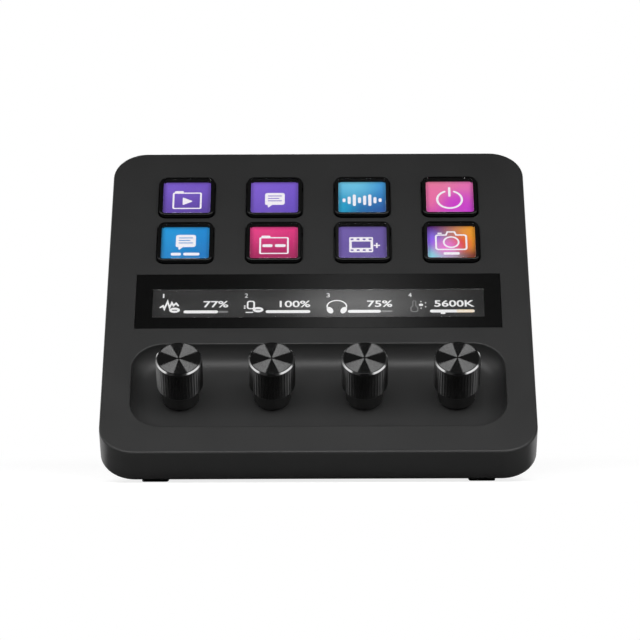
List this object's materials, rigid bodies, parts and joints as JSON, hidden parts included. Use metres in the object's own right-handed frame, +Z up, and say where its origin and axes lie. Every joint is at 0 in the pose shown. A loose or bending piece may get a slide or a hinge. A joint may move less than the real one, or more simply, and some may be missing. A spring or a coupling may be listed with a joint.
{
  "type": "macro keypad",
  "caption": "Slanted desk keypad on a fixed stand, with picture keys under clear windows, a glass touch strip and push-and-turn dials in a trough.",
  "frame": {"origin": "on the desk, under the middle of the object", "axes": "+X to the user's right, +Y away from the user, +Z up; the panel faces -Y and up"},
  "size_m": [0.14, 0.138, 0.1087],
  "materials": {
    "panel_plastic": "fine matte moulded",
    "cover_plastic": "fine matte moulded",
    "stand_plastic": "fine matte moulded",
    "strip_glass": "black printed gloss glass",
    "display": "lit display panel",
    "light_plate": "white diffuser",
    "guide_plastic": "black moulded",
    "key_black": "polished black",
    "key_clear": "clear polished",
    "knob_metal": "black anodised, spun top",
    "steel": "nickel plated",
    "brass": "turned",
    "black_screw": "black zinc",
    "board": "solder mask over glass fibre",
    "chip": "moulded package",
    "tape": "amber polyimide",
    "socket_plastic": "ivory moulded",
    "silicone": "soft matte",
    "foam": "open cell",
    "foot_rubber": "soft matte"
  },
  "bodies": {
    "housing": {"front_shell": "panel_plastic", "rear_cover": "cover_plastic", "stand": "stand_plastic", "strip_glass": "strip_glass", "strip_display": "display", "key_guide": "guide_plastic", "key_mat": "silicone", "key_display": "display", "key_backlight": "light_plate", "foam_pads": "foam", "main_board": "board", "encoder_board": "board", "controller_chip": "chip", "memory_chip": "chip", "cable_sockets": "socket_plastic", "flex_tapes": "tape", "board_ribbon": "tape", "usb_socket": "steel", "case_screws": "black_screw", "board_screws": "steel", "stand_screws": "black_screw", "ballast_plate": "steel", "ballast_screws": "steel", "front_feet": "foot_rubber", "rear_feet": "foot_rubber", "encoder_body_1": "steel", "encoder_body_2": "steel", "encoder_body_3": "steel", "encoder_body_4": "steel"},
    "key_1": {"key_rim_1": "key_black", "key_window_1": "key_clear"},
    "key_2": {"key_rim_2": "key_black", "key_window_2": "key_clear"},
    "key_3": {"key_rim_3": "key_black", "key_window_3": "key_clear"},
    "key_4": {"key_rim_4": "key_black", "key_window_4": "key_clear"},
    "key_5": {"key_rim_5": "key_black", "key_window_5": "key_clear"},
    "key_6": {"key_rim_6": "key_black", "key_window_6": "key_clear"},
    "key_7": {"key_rim_7": "key_black", "key_window_7": "key_clear"},
    "key_8": {"key_rim_8": "key_black", "key_window_8": "key_clear"},
    "rotor_1": {"encoder_rotor_1": "brass"},
    "dial_1": {"knob_1": "knob_metal", "encoder_shaft_1": "steel"},
    "rotor_2": {"encoder_rotor_2": "brass"},
    "dial_2": {"knob_2": "knob_metal", "encoder_shaft_2": "steel"},
    "rotor_3": {"encoder_rotor_3": "brass"},
    "dial_3": {"knob_3": "knob_metal", "encoder_shaft_3": "steel"},
    "rotor_4": {"encoder_rotor_4": "brass"},
    "dial_4": {"knob_4": "knob_metal", "encoder_shaft_4": "steel"}
  },
  "joints": [
    {"name": "key_1_press", "type": "slide", "parent": "housing", "child": "key_1", "axis": [0, 0.7133, -0.7009], "range_m": [0, 0.0012], "stiffness_N_per_m": 400, "springref_m": -0.0008},
    {"name": "key_2_press", "type": "slide", "parent": "housing", "child": "key_2", "axis": [0, 0.7133, -0.7009], "range_m": [0, 0.0012], "stiffness_N_per_m": 400, "springref_m": -0.0008},
    {"name": "key_3_press", "type": "slide", "parent": "housing", "child": "key_3", "axis": [0, 0.7133, -0.7009], "range_m": [0, 0.0012], "stiffness_N_per_m": 400, "springref_m": -0.0008},
    {"name": "key_4_press", "type": "slide", "parent": "housing", "child": "key_4", "axis": [0, 0.7133, -0.7009], "range_m": [0, 0.0012], "stiffness_N_per_m": 400, "springref_m": -0.0008},
    {"name": "key_5_press", "type": "slide", "parent": "housing", "child": "key_5", "axis": [0, 0.7133, -0.7009], "range_m": [0, 0.0012], "stiffness_N_per_m": 400, "springref_m": -0.0008},
    {"name": "key_6_press", "type": "slide", "parent": "housing", "child": "key_6", "axis": [0, 0.7133, -0.7009], "range_m": [0, 0.0012], "stiffness_N_per_m": 400, "springref_m": -0.0008},
    {"name": "key_7_press", "type": "slide", "parent": "housing", "child": "key_7", "axis": [0, 0.7133, -0.7009], "range_m": [0, 0.0012], "stiffness_N_per_m": 400, "springref_m": -0.0008},
    {"name": "key_8_press", "type": "slide", "parent": "housing", "child": "key_8", "axis": [0, 0.7133, -0.7009], "range_m": [0, 0.0012], "stiffness_N_per_m": 400, "springref_m": -0.0008},
    {"name": "dial_1_turn", "type": "hinge", "parent": "housing", "child": "rotor_1", "pos_m": [-0.0446, -0.04858, 0.03101], "axis": [0, -0.7133, 0.7009], "continuous": true},
    {"name": "dial_1_push", "type": "slide", "parent": "rotor_1", "child": "dial_1", "axis": [0, 0.7133, -0.7009], "range_m": [0, 0.0005], "stiffness_N_per_m": 3000, "springref_m": -0.0005},
    {"name": "dial_2_turn", "type": "hinge", "parent": "housing", "child": "rotor_2", "pos_m": [-0.01487, -0.04858, 0.03101], "axis": [0, -0.7133, 0.7009], "continuous": true},
    {"name": "dial_2_push", "type": "slide", "parent": "rotor_2", "child": "dial_2", "axis": [0, 0.7133, -0.7009], "range_m": [0, 0.0005], "stiffness_N_per_m": 3000, "springref_m": -0.0005},
    {"name": "dial_3_turn", "type": "hinge", "parent": "housing", "child": "rotor_3", "pos_m": [0.01487, -0.04858, 0.03101], "axis": [0, -0.7133, 0.7009], "continuous": true},
    {"name": "dial_3_push", "type": "slide", "parent": "rotor_3", "child": "dial_3", "axis": [0, 0.7133, -0.7009], "range_m": [0, 0.0005], "stiffness_N_per_m": 3000, "springref_m": -0.0005},
    {"name": "dial_4_turn", "type": "hinge", "parent": "housing", "child": "rotor_4", "pos_m": [0.0446, -0.04858, 0.03101], "axis": [0, -0.7133, 0.7009], "continuous": true},
    {"name": "dial_4_push", "type": "slide", "parent": "rotor_4", "child": "dial_4", "axis": [0, 0.7133, -0.7009], "range_m": [0, 0.0005], "stiffness_N_per_m": 3000, "springref_m": -0.0005}
  ]
}
